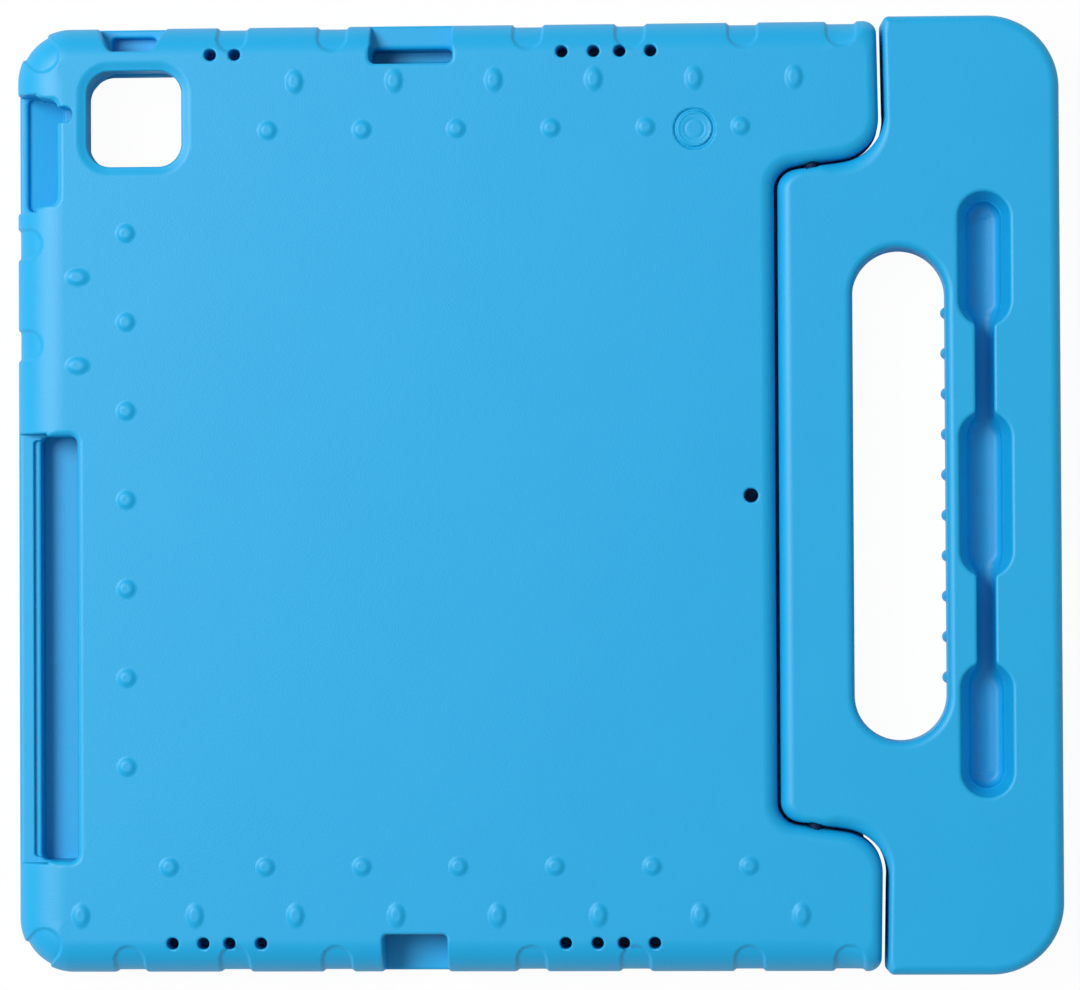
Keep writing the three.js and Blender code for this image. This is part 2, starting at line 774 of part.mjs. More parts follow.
// A hinge piece on its axis at one end of the neck: +1 is the upper end and -1 the lower.
function hingePiece(profile, side, name) {
  const lathe = new THREE.LatheGeometry(profile.map(([r, y]) => new THREE.Vector2(r, y)), turnedSteps);
  const mesh = new THREE.Mesh(lathe, hingePlastic);
  mesh.position.set(hingeX, side * neckHalf, hingeZ);
  mesh.rotation.z = side > 0 ? 0 : Math.PI;
  mesh.name = name;
  return mesh;
}

const tabletCase = new THREE.Group();
tabletCase.add(meshFrom(caseShell(), "case_shell", foam));
tabletCase.add(meshFrom(carryHandle(), "carry_handle", foam));
for (const [side, end] of [
  [1, "upper"],
  [-1, "lower"],
]) {
  tabletCase.add(hingePiece(pinProfile(), side, "hinge_pin_" + end));
  tabletCase.add(hingePiece(sleeveProfile(), side, "hinge_sleeve_" + end));
}

export default tabletCase;
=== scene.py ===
"""A children's foam tablet case with a hinged carry handle, seen from its back on a white table.

The two foam mouldings are solids given by distance formulas, in millimetres in the frame of the part:
a formula is below zero inside the foam, zero on its skin and above zero outside.
"""

import math

import bpy
import numpy as np
from mathutils import Matrix, Vector


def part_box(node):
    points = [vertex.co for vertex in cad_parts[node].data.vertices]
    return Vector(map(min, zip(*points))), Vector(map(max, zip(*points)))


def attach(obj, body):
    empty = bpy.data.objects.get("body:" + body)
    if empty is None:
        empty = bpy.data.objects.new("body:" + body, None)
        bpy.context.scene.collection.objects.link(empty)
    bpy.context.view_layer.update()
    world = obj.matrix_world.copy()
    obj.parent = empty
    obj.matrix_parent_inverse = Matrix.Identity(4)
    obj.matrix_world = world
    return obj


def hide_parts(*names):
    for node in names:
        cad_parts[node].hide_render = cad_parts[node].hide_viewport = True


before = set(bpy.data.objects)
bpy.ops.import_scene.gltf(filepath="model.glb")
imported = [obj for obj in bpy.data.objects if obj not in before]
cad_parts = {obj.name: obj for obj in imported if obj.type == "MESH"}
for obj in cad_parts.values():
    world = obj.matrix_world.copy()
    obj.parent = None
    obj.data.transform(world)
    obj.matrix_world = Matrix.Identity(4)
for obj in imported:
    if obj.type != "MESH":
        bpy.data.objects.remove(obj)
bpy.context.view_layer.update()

MM = 0.001


def box_mm(node):
    """The lowest and highest corners of a node's box, in millimetres."""
    low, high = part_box(node)
    return np.array(low) / MM, np.array(high) / MM


case_low, case_high = box_mm("case_shell")
handle_low, handle_high = box_mm("carry_handle")

# Gap between the two mouldings along the neck
PARTING_GAP = 1.1

# Case
THICKNESS = handle_high[2]
CASE_LEFT = case_low[0]
CASE_HALF = case_high[1]
CASE_CORNER = 17.5
CASE_RIGHT = handle_low[0] - PARTING_GAP
CASE_BACK_ROUND = 11.0
CASE_SIDE_REACH = 16.5
CASE_FRONT_ROUND = 5.0
LIP = 4.8
LIP_OVERLAP_SIDE = 1.7
LIP_OVERLAP_END = 2.6
LIP_CORNER = 8.0
LIP_ROUND = 2.0
BAY_TOP = 11.7
RIM_ROUND = 0.7
FINE_ROUND = 0.3
CASE_BLEND = 9.0

# Tablet that the bay fits
TABLET_LEFT = CASE_LEFT + 20.7
TABLET_WIDTH = 214.9
TABLET_X = TABLET_LEFT + TABLET_WIDTH / 2
TABLET_RIGHT = TABLET_LEFT + TABLET_WIDTH
TABLET_HALF = CASE_HALF - 12.25
TABLET_CORNER = 18.0
TABLET_MIDDLE = LIP + 3.2

# Handle and parting line
NECK_X = handle_low[0]
NECK_HALF = 105.2
NECK_CORNER = 6.5
NECK_SLOPE = math.radians(8.5)
HANDLE_RIGHT = handle_high[0]
HANDLE_HALF = handle_high[1]
HANDLE_CORNER = 23.2
HANDLE_ROUND = 3.3
HANDLE_BLEND = 5.0
SHOULDER_X = NECK_X + 34.5
SHOULDER_Y = 122.0
SHOULDER_GAP = 2.1
SHOULDER_CURVE = 16.0
SHOULDER_TAPER = 0.5
SHOULDER_FLARE = 0.9
SHOULDER_ROUND = 1.6
EAR_CORNER = 4.6
EAR_ROUND = 3.6
NECK_BACK_ROUND = 4.5
NECK_END_ROUND = 4.8
NECK_FRONT_ROUND = 9.8
NECK_CORNER_FRONT = 5.5
NECK_BEND_Y = 98.0
NECK_FADE = 15.0
HINGE_X = NECK_X + 11.0
HINGE_Z = THICKNESS - 5.5
HINGE_COVER = 1.8
PIN_BORE = (2.3, 18.4)
SLEEVE_BORE = (3.8, 18.6)

# Lip at the foot of the case's inner face: its reach beside the neck and half length, its heights,
# and its reach round the neck's corner with how far it runs along the neck's end
SEAT_LIP = (1.7, 103.4, 0.6, 2.0)
SEAT_LIP_END = (1.0, 26.5)

# Hand slot, its nubs, and the stylus trough
SLOT_WIDTH = 29.7
SLOT_LENGTH = 157.7
SLOT_X = NECK_X + 53.5 - SLOT_WIDTH / 2
SLOT_ROUND = 2.6
NUB_PITCH = 13.0
NUB_RADII = (1.5, 1.8, 4.5)
NUB_Z = 9.0
TROUGH_X = HANDLE_RIGHT - 24.2
TROUGH_LENGTH = 193.0
POCKET_WIDTH = 16.2
POCKET_DEPTH = 13.5
POCKET_WALL = ((0.0, 5.6, 6.1, 12.3), (5.3, 5.55, 6.0, 8.1))
POCKET_ROUND = 1.2
POCKETS = ((0.0, 52.4), (75.2, 42.6), (-75.2, 42.6))
MOUTH_WIDTH = 5.9
CHANNEL_RADIUS = 4.7

# Camera window, and its dished border as (width, depth)
CAMERA_WIDTH = 30.5
CAMERA_HEIGHT = 30.9
CAMERA_X = CASE_LEFT + 38.95
CAMERA_Y = CASE_HALF - 30.05
CAMERA_CORNER = 7.5
CAMERA_ROUND = 0.6
CAMERA_DISH = (3.4, 0.9)

# Cut-outs in the end walls: centres, half widths, and the z of their steps
BUTTON_HALF_HEIGHT = 1.8
END_LAND = -0.4
POWER_X = TABLET_X - 90.5
POWER_HALF = 7.3
POWER_HALF_OUTER = 11.0
POWER_HOLE_HALF = 6.3
POWER_LAND = 4.2
POWER_RIM = 2.6
POWER_STEP = 9.0
LINK_X = TABLET_X + 0.2
LINK_HALF = 13.05
LINK_POCKET = 4.4
LINK_STEP = 13.8
PORT_X = TABLET_X + 0.4
PORT_HALF = 10.45

# Cut-outs in the long outer side: their ends in y, their rims from the outer face, and steps in z
SIDE_LAND = TABLET_LEFT - 6.6
VOLUME_ENDS = (92.85, 131.35)
VOLUME_RIM = 2.9
VOLUME_STEP = 8.0
VOLUME_SLANT = 0.19
VOLUME_FLOOR_RISE = 1.6
VOLUME_NICK = (121.6, 126.6)
STYLUS_ENDS = (-116.35, 20.35)
STYLUS_RIM = 7.4
STYLUS_STEP = (5.2, 12.8)
STYLUS_RIM_TOP = 14.0
POCKET_CORNER = 2.4

# Speaker and microphone holes
SOUND_RADIUS = 1.9
SOUND_Y = TABLET_HALF + 2.5
SOUND_X = (48.9, 59.1, 67.5, 77.4)
SOUND_X_TOP_LEFT = (-64.4, -56.6)
SOUND_CHANNEL = (LIP + 0.5, LIP + 5.7)
MIC_X = TABLET_RIGHT + 1.4
MIC_RADIUS = 2.25

# Plain badge: a groove and a ring as (inset, half width, width of slope, depth), and a sunken disc as
# (inset, width of slope, depth)
BADGE_X = CASE_RIGHT - 25.3
BADGE_Y = CASE_HALF - 35.0
BADGE_RADIUS = 6.3
BADGE_GROOVE = (0.15, 0.7, 0.55, 0.65)
BADGE_DISC = (1.0, 0.7, 0.25)
BADGE_RING = (3.2, 0.7, 0.7, 0.12)

# Grip dots: rows as (count, first, pitch, side), from the middle of the tablet. Their edge and slope
# are shares of their half width.
DOT_RISE = 0.8
DOT_EDGE = 1.03
DOT_SLOPE = 0.65
DOT_HALF = 3.3
DOT_ROW_Y = CASE_HALF - 34.3
DOT_ROWS = ((6, -45.9, 30.4, 1), (7, -78.4, 31.0, -1))
DOT_COLUMN_X = CASE_LEFT + 36.2
DOT_COLUMN = (7, -86.1, 28.6)
OVAL_HALVES = (3.1, 4.3)
OVAL_ROW_Y = CASE_HALF - 18.7
OVAL_ROWS = ((6, -37.2, 32.1, 1), (7, -70.2, 32.4, -1))
OVAL_CORNER_X = TABLET_X - 107.0
OVAL_COLUMN_X = CASE_LEFT + 20.6
OVAL_COLUMN = (2, 43, 28.5)

# Scallops: places along each edge, from the middle of the tablet or of the case
SCALLOP_DEPTH = 0.8
SCALLOP_WIDTH = 10.6
SCALLOP_REACH = 9.4
SCALLOP_EDGE = 1.1
SCALLOPS_UPPER = (-57.7, -25.3, 37.8, 70.7, 106.8, 138.3)
SCALLOPS_LOWER = (-91.7, -57.7, -24.7, 37.8, 71.1, 107.5, 139.5)
SCALLOPS_SIDE = (82.5, 49.8)
CORNER_SCALLOP_DEPTH = 0.85
CORNER_SCALLOP_RADIUS = 6.0
CORNER_SCALLOP_REACH = 11.7
PAST_EDGE = 20

# Fineness of the meshes
GRID_STEP = 0.62
MOST_TRIANGLES = 185000


def round_max(a, b, r, lean=0.0):
    """What two solids share, with the edge where they cross rounded by a radius r: where both distances
    are past -r, the distance is measured from the corner at (-r, -r). lean is the cosine of the angle
    between the two faces' normals: 0 for faces at a right angle."""
    a, b = a + r, b + r
    at_corner = (a > lean * b) & (b > lean * a) & (np.maximum(a, b) > 0)
    out = np.sqrt(np.maximum(a * a + b * b - 2 * lean * a * b, 0) / (1 - lean * lean))
    return np.where(at_corner, out, np.maximum(a, b)) - r


def round_min(a, b, r, lean=0.0):
    """Two solids joined, with a hollow round of radius r between them."""
    return -round_max(-a, -b, r, lean)


def cut(solid, hole, r):
    """A solid less a hole, with a round of radius r along the hole's rim."""
    return round_max(solid, -hole, r)


def soft_step(t):
    """0 below 0, 1 above 1, and 3t^2 - 2t^3 between."""
    t = np.clip(t, 0, 1)
    return t * t * (3 - 2 * t)


def rectangle(x, y, x0, y0, x1, y1, r):
    """Distance from a rectangle with round corners of radius r."""
    dx = np.abs(x - (x0 + x1) / 2) - (x1 - x0) / 2 + r
    dy = np.abs(y - (y0 + y1) / 2) - (y1 - y0) / 2 + r
    outside = np.sqrt(np.maximum(dx, 0) ** 2 + np.maximum(dy, 0) ** 2)
    return np.minimum(np.maximum(dx, dy), 0) + outside - r


def capsule(x, y, x0, y0, x1, y1, r):
    """Distance from a strip of half-width r with round ends, from one point to another."""
    px, py = x - x0, y - y0
    dx, dy = x1 - x0, y1 - y0
    t = np.clip((px * dx + py * dy) / (dx * dx + dy * dy), 0, 1)
    return np.sqrt((px - t * dx) ** 2 + (py - t * dy) ** 2) - r


def span(v, v0, v1):
    """Distance from a slab between two values."""
    return np.abs(v - (v0 + v1) / 2) - (v1 - v0) / 2


def parting(x, y, gap, shoulder_gap, flare):
    """Distance from the handle's side of the parting line, moved out by a gap: a neck with round corners
    whose ends slope out a little, joined by a hollow curve to shoulders that lean in towards their ends
    and flare towards the table."""
    ay = np.abs(y)
    end = (ay - NECK_HALF) * math.cos(NECK_SLOPE) - (x - HINGE_X) * math.sin(NECK_SLOPE) - gap
    neck = round_max(NECK_X - gap - x, end, NECK_CORNER + gap, math.sin(NECK_SLOPE))
    shoulder_gap = gap + (shoulder_gap - gap) * soft_step((ay - SHOULDER_Y + 12) / 12)
    lean = SHOULDER_TAPER * np.clip((ay - SHOULDER_Y) / (HANDLE_HALF - 3 - SHOULDER_Y), 0, 1)
    flare = flare * np.clip((ay - NECK_HALF - 2) / SHOULDER_CURVE, 0, 1)
    shoulder = SHOULDER_X - shoulder_gap - lean - flare - x
    return round_min(neck, shoulder, SHOULDER_CURVE - shoulder_gap, math.sin(NECK_SLOPE))


def scallop_strips():
    """Strips over the outer edges, as (two ends, half width, depth): three runs along straight edges,
    and one at each outer corner."""
    inset = SCALLOP_REACH - SCALLOP_WIDTH / 2
    inner, outer = CASE_HALF - inset, CASE_HALF + PAST_EDGE
    r = SCALLOP_WIDTH / 2
    strips = []
    for side, places in ((1, SCALLOPS_UPPER), (-1, SCALLOPS_LOWER)):
        for place in places:
            x = TABLET_X + place
            strips.append((x, side * inner, x, side * outer, r, SCALLOP_DEPTH))
    for y in SCALLOPS_SIDE:
        strips.append((CASE_LEFT + inset, y, CASE_LEFT - PAST_EDGE, y, r, SCALLOP_DEPTH))
    near = (CASE_CORNER - CORNER_SCALLOP_REACH + CORNER_SCALLOP_RADIUS) * math.sqrt(0.5)
    x = CASE_LEFT + CASE_CORNER - near
    y = CASE_HALF - CASE_CORNER + near
    for side in (1, -1):
        ends = (x, side * y, x - PAST_EDGE, side * (y + PAST_EDGE))
        strips.append((*ends, CORNER_SCALLOP_RADIUS, CORNER_SCALLOP_DEPTH))
    return strips


def grip_dots():
    """Raised dots as (x, y, half width, half length)."""
    across, along = OVAL_HALVES
    dots = []
    for count, first, pitch, side in DOT_ROWS:
        for i in range(count):
            dots.append((TABLET_X + first + i * pitch, side * DOT_ROW_Y, DOT_HALF, DOT_HALF))
    count, first, pitch = DOT_COLUMN
    for i in range(count):
        dots.append((DOT_COLUMN_X, first + i * pitch, DOT_HALF, DOT_HALF))
    for count, first, pitch, side in OVAL_ROWS:
        for i in range(count):
            dots.append((TABLET_X + first + i * pitch, side * OVAL_ROW_Y, across, along))
    dots.append((OVAL_CORNER_X, -OVAL_ROW_Y, across, along))
    count, first, pitch = OVAL_COLUMN
    for i in range(count):
        dots.append((OVAL_COLUMN_X, first + i * pitch, along, across))
    return dots


def badge_depth(x, y):
    """How deep the badge is pressed in: the groove along its edge, the disc in it and the ring on
    that, each with soft slopes."""
    out = np.sqrt((x - BADGE_X) ** 2 + (y - BADGE_Y) ** 2)
    inset, half, slant, depth = BADGE_GROOVE
    groove = depth * soft_step((half - np.abs(out - BADGE_RADIUS + inset)) / slant)
    inset, slant, depth = BADGE_DISC
    disc = depth * soft_step((BADGE_RADIUS - inset - out) / slant)
    inset, half, slant, depth = BADGE_RING
    ring = depth * soft_step((half - np.abs(out - BADGE_RADIUS + inset)) / slant)
    return np.maximum(groove, disc) + ring


def end_notch(x, y, z, centre, half_inner, half_outer, land, side, bottom):
    """A notch through an end wall, open upwards, its sides flaring towards the outer face."""
    depth = (y * side - TABLET_HALF - land) / (CASE_HALF - TABLET_HALF - land)
    half = half_inner + (half_outer - half_inner) * np.clip(depth, 0, 1)
    plan = round_max(np.abs(x - centre) - half, TABLET_HALF + land - y * side, 1.6)
    return np.maximum(plan, bottom - z)


def end_well(x, y, z, centre, half, y0, y1):
    """A pocket in the upper end wall, down to the lip."""
    return np.maximum(rectangle(x, y, centre - half, y0, centre + half, y1, 1.6), LIP - z)


def case_outside(x, y, z):
    """The case's outer form: the plan of a rounded rectangle less the handle's side, with big rounds
    along the outer edges, small ones along the parting line, and scallops and dots on its skin. The
    round along the long outer side is CASE_SIDE_REACH wide, so distances from that side are scaled."""
    outer = rectangle(x, y, CASE_LEFT, -CASE_HALF, CASE_RIGHT + 120, CASE_HALF, CASE_CORNER)
    inner = -parting(x, y, PARTING_GAP, SHOULDER_GAP, 0.0)
    plan = round_max(outer, inner, EAR_CORNER)
    at_parting = soft_step((inner - outer + CASE_BLEND) / (2 * CASE_BLEND))
    ay = np.abs(y)
    back = np.interp(
        ay, (NECK_BEND_Y, NECK_HALF, SHOULDER_Y), (NECK_BACK_ROUND, NECK_END_ROUND, EAR_ROUND)
    )
    front = np.interp(ay, (NECK_HALF, SHOULDER_Y), (SHOULDER_ROUND, EAR_ROUND))
    top = CASE_BACK_ROUND + (back - CASE_BACK_ROUND) * at_parting
    bottom = CASE_FRONT_ROUND + (front - CASE_FRONT_ROUND) * at_parting
    across = np.maximum(CASE_LEFT + CASE_CORNER - x, 0) ** 2
    along = np.maximum(ay - CASE_HALF + CASE_CORNER, 0) ** 2
    narrow = 1 / (1 + (CASE_SIDE_REACH / CASE_BACK_ROUND - 1) * across / (across + along + 1e-6))
    skin = np.maximum(round_max(plan * narrow, z - THICKNESS, top), round_max(plan, -z, bottom))
    pressed = 0
    for *strip, depth in scallop_strips():
        pressed = np.maximum(pressed, depth * soft_step(-capsule(x, y, *strip) / SCALLOP_EDGE))
    raised = 0
    for dot_x, dot_y, half_x, half_y in grip_dots():
        out = np.sqrt(((x - dot_x) / half_x) ** 2 + ((y - dot_y) / half_y) ** 2)
        raised = np.maximum(raised, soft_step((DOT_EDGE - out) / DOT_SLOPE))
    above = soft_step((z - THICKNESS + 6) / 3)
    skin = skin + narrow * pressed - above * (DOT_RISE * raised - badge_depth(x, y))
    reach, half, z0, z1 = SEAT_LIP
    beside = np.maximum(np.abs(x - CASE_RIGHT) - reach, ay - half)
    reach, length = SEAT_LIP_END
    at_end = np.maximum(np.maximum(np.abs(inner) - reach, x - NECK_X - length), half - 4 - ay)
    lip = np.maximum(np.minimum(beside, at_end), span(z, z0, z1))
    return round_min(skin, lip, 0.2)


def case_solid(x, y, z):
    """The case: its outer form less the tablet's bay, the windows, the cut-outs and the holes."""
    f = case_outside(x, y, z)
    room = rectangle(x, y, TABLET_LEFT, -TABLET_HALF, TABLET_RIGHT, TABLET_HALF, TABLET_CORNER)
    f = cut(f, np.maximum(room, span(z, LIP, BAY_TOP)), FINE_ROUND)
    view = rectangle(
        x,
        y,
        TABLET_LEFT + LIP_OVERLAP_SIDE,
        -TABLET_HALF + LIP_OVERLAP_END,
        TABLET_RIGHT - LIP_OVERLAP_SIDE,
        TABLET_HALF - LIP_OVERLAP_END,
        LIP_CORNER,
    )
    f = cut(f, np.maximum(view, z - LIP - 1), LIP_ROUND)
    half_x, half_y = CAMERA_WIDTH / 2, CAMERA_HEIGHT / 2
    camera = rectangle(
        x, y, CAMERA_X - half_x, CAMERA_Y - half_y, CAMERA_X + half_x, CAMERA_Y + half_y, CAMERA_CORNER
    )
    dish = CAMERA_DISH[1] * soft_step(1 - camera / CAMERA_DISH[0]) * soft_step((z - BAY_TOP - 2) / 3)
    f = cut(f + dish, np.maximum(camera, BAY_TOP - 1 - z), CAMERA_ROUND)
    notch = end_notch(x, y, z, POWER_X, POWER_HALF, POWER_HALF_OUTER, POWER_LAND, 1, POWER_STEP)
    f = cut(f, notch, RIM_ROUND)
    well = end_well(x, y, z, POWER_X, POWER_HALF, TABLET_HALF + POWER_LAND, CASE_HALF - POWER_RIM)
    f = cut(f, well, RIM_ROUND)
    button = np.maximum(np.abs(x - POWER_X) - POWER_HOLE_HALF, span(y, TABLET_HALF - 2, TABLET_HALF + 6))
    f = cut(f, np.maximum(button, np.abs(z - TABLET_MIDDLE) - BUTTON_HALF_HEIGHT), FINE_ROUND)
    f = cut(f, end_notch(x, y, z, LINK_X, LINK_HALF, LINK_HALF, END_LAND, 1, LINK_STEP), RIM_ROUND)
    well = end_well(x, y, z, LINK_X, LINK_HALF, TABLET_HALF + END_LAND, TABLET_HALF + LINK_POCKET)
    f = cut(f, well, 1.6)
    f = cut(f, end_notch(x, y, z, PORT_X, PORT_HALF, PORT_HALF, END_LAND, -1, LIP), RIM_ROUND)
    f = side_cutouts(f, x, y, z)
    return sound_holes(f, x, y, z)


def side_cutouts(f, x, y, z):
    """The volume buttons' cut-out and the long one where a stylus clings to the tablet's edge:
    each a deep pocket behind a low rim."""
    low, high = VOLUME_ENDS
    width = SIDE_LAND - CASE_LEFT
    rim = np.maximum(x - (CASE_LEFT + SIDE_LAND) / 2, VOLUME_STEP - z)
    f = cut(f, np.maximum(span(y, low, high - 0.6), rim), RIM_ROUND)
    ends = span(y, low, high) + VOLUME_SLANT * np.clip(x - CASE_LEFT, 0, width)
    pocket = round_max(span(x, CASE_LEFT + VOLUME_RIM, SIDE_LAND), ends, POCKET_CORNER)
    floor = LIP + VOLUME_FLOOR_RISE * np.clip((SIDE_LAND - x) / (width - VOLUME_RIM), 0, 1)
    f = cut(f, np.maximum(pocket, floor - z), 0.9 + 1.3 * soft_step((x - SIDE_LAND + 3) / 3))
    button = np.maximum(span(x, SIDE_LAND - 2, TABLET_LEFT + 2), span(y, low + 3, high - 3))
    f = cut(f, np.maximum(button, np.abs(z - TABLET_MIDDLE) - BUTTON_HALF_HEIGHT), FINE_ROUND)
    low, high = VOLUME_NICK
    nick = rectangle(x, y, SIDE_LAND - 6, low, SIDE_LAND + 5, high, POCKET_CORNER)
    f = cut(f, np.maximum(nick, TABLET_MIDDLE - BUTTON_HALF_HEIGHT - z), 0.4)
    low, high = STYLUS_ENDS
    middle = (CASE_LEFT + TABLET_LEFT) / 2
    rim = np.maximum(span(y, low - 0.8, high + 0.8), np.maximum(x - middle, STYLUS_RIM_TOP - z))
    f = cut(f, rim, RIM_ROUND)
    inset, top = STYLUS_STEP
    step = rectangle(x, y, CASE_LEFT + inset, low + 1.2, middle, high - 1.2, 1.2)
    f = cut(f, np.maximum(step, top - z), FINE_ROUND)
    pocket = rectangle(x, y, CASE_LEFT + STYLUS_RIM, low, TABLET_LEFT - 0.5, high, POCKET_CORNER)
    f = cut(f, np.maximum(pocket, LIP - z), 0.8 + 1.2 * soft_step((x - middle) / 4))
    ends = span(y, low + POCKET_CORNER, high - POCKET_CORNER)
    passage = np.maximum(span(x, middle, TABLET_LEFT + 1), ends)
    return cut(f, np.maximum(passage, span(z, LIP + 0.5, BAY_TOP)), FINE_ROUND)


def sound_holes(f, x, y, z):
    """Round holes down to channels that lead into the bay."""
    low, high = SOUND_CHANNEL
    groups = (
        (1, SOUND_X),
        (1, SOUND_X_TOP_LEFT),
        (-1, SOUND_X),
        (-1, tuple(-v for v in SOUND_X)),
    )
    for side, places in groups:
        left, right = TABLET_X + min(places) - SOUND_RADIUS, TABLET_X + max(places) + SOUND_RADIUS
        reach = span(y * side, TABLET_HALF - 2, SOUND_Y + SOUND_RADIUS)
        channel = np.maximum(span(x, left, right), reach)
        f = cut(f, np.maximum(channel, span(z, low, high)), FINE_ROUND)
        for place in places:
            hole = np.sqrt((x - TABLET_X - place) ** 2 + (y - side * SOUND_Y) ** 2) - SOUND_RADIUS
            f = cut(f, np.maximum(hole, high - 1 - z), 0.45)
    hole = np.sqrt((x - MIC_X) ** 2 + y**2) - MIC_RADIUS
    f = cut(f, np.maximum(hole, high - 1 - z), 0.5)
    channel = np.maximum(span(x, TABLET_RIGHT - 2, MIC_X + MIC_RADIUS), np.abs(y) - MIC_RADIUS)
    return cut(f, np.maximum(channel, span(z, low, high)), FINE_ROUND)


def hinge_bore(x, y, z, radius, y0, y1):
    """A round hole along the hinge's axis at each end of the neck."""
    return np.maximum(np.sqrt((x - HINGE_X) ** 2 + (z - HINGE_Z) ** 2) - radius, span(np.abs(y), y0, y1))


def case_with_bores(x, y, z):
    """The case with the holes in its ears that the hinge pins sit in."""
    radius, depth = PIN_BORE
    bore = hinge_bore(x, y, z, radius, NECK_HALF - 2, NECK_HALF + depth)
    return cut(case_solid(x, y, z), bore, FINE_ROUND)


def handle_solid(x, y, z):
    """The handle: a rounded rectangle cut along the parting line, less the hand slot, the hinge bores
    and the stylus trough, with nubs on the slot's outer wall. The back's round along the neck's end is
    smaller over the hinge, so that foam covers the sleeve."""
    outer = rectangle(x, y, NECK_X - 120, -HANDLE_HALF, HANDLE_RIGHT, HANDLE_HALF, HANDLE_CORNER)
    down = (THICKNESS - SHOULDER_ROUND - z) / (THICKNESS - 2 * SHOULDER_ROUND)
    flare = SHOULDER_FLARE * np.clip(down, 0, 1)
    inner = parting(x, y, 0.0, 0.0, flare)
    plan = round_max(outer, inner, 2.0)
    at_parting = soft_step((inner - outer + HANDLE_BLEND) / (2 * HANDLE_BLEND))
    ay = np.abs(y)
    top = np.interp(
        ay, (NECK_BEND_Y, NECK_HALF, SHOULDER_Y), (NECK_BACK_ROUND, NECK_END_ROUND, SHOULDER_ROUND)
    )
    over_hinge = soft_step((8.5 - np.abs(x - HINGE_X)) / 6)
    over_hinge = over_hinge * soft_step((ay - 96) / 4) * soft_step((109 - ay) / 3)
    top = top - HINGE_COVER * over_hinge
    bottom = np.interp(
        ay,
        (NECK_BEND_Y - NECK_FADE, NECK_BEND_Y, NECK_HALF),
        (NECK_FRONT_ROUND, NECK_CORNER_FRONT, SHOULDER_ROUND),
    )
    top = HANDLE_ROUND + (top - HANDLE_ROUND) * at_parting
    bottom = HANDLE_ROUND + (bottom - HANDLE_ROUND) * at_parting
    f = round_max(round_max(plan, z - THICKNESS, top), -z, bottom)
    run = (SLOT_LENGTH - SLOT_WIDTH) / 2
    f = cut(f, capsule(x, y, SLOT_X, -run, SLOT_X, run, SLOT_WIDTH / 2), SLOT_ROUND)
    radius, depth = SLEEVE_BORE
    f = cut(f, hinge_bore(x, y, z, radius, NECK_HALF - depth, NECK_HALF + 2), FINE_ROUND)
    wall = SLOT_X + SLOT_WIDTH / 2
    along = (y / NUB_PITCH) - 0.5
    nearest = (np.clip(np.round(along), -5, 4) + 0.5) * NUB_PITCH
    nub = np.sqrt(
        ((x - wall) / NUB_RADII[0]) ** 2
        + ((y - nearest) / NUB_RADII[1]) ** 2
        + ((z - NUB_Z) / NUB_RADII[2]) ** 2
    )
    f = round_min(f, (nub - 1) * NUB_RADII[0], 0.5)
    return stylus_trough(f, x, y, z)


def stylus_trough(f, x, y, z):
    """A round channel under a narrow mouth, opened by three pockets whose walls have a narrow ledge."""
    floor = THICKNESS - POCKET_DEPTH
    axis_z = floor + CHANNEL_RADIUS
    half = TROUGH_LENGTH / 2
    channel = np.sqrt((x - TROUGH_X) ** 2 + (z - axis_z) ** 2) - CHANNEL_RADIUS
    f = cut(f, np.maximum(channel, np.abs(y) - half + POCKET_WIDTH / 2), 0.4)
    mouth = np.maximum(np.abs(x - TROUGH_X) - MOUTH_WIDTH / 2, np.abs(y) - half + POCKET_WIDTH)
    f = cut(f, np.maximum(mouth, axis_z - z), 0.8)
    wall = np.interp(z, floor + np.array(POCKET_WALL[0]), POCKET_WALL[1])
    for middle, length in POCKETS:
        run = (length - POCKET_WIDTH) / 2
        plan = capsule(x, y, TROUGH_X, middle - run, TROUGH_X, middle + run, POCKET_WIDTH / 2)
        walls = plan + POCKET_WIDTH / 2 - wall
        f = cut(f, round_max(walls, floor - z, POCKET_CORNER), POCKET_ROUND)
    return f


# A grid cell's corners, and its edges as pairs of them
CORNERS = np.array([(i, j, k) for i in (0, 1) for j in (0, 1) for k in (0, 1)])
CELL_EDGES = (
    *((0, 4), (1, 5), (2, 6), (3, 7)),
    *((0, 2), (1, 3), (4, 6), (5, 7)),
    *((0, 1), (2, 3), (4, 5), (6, 7)),
)


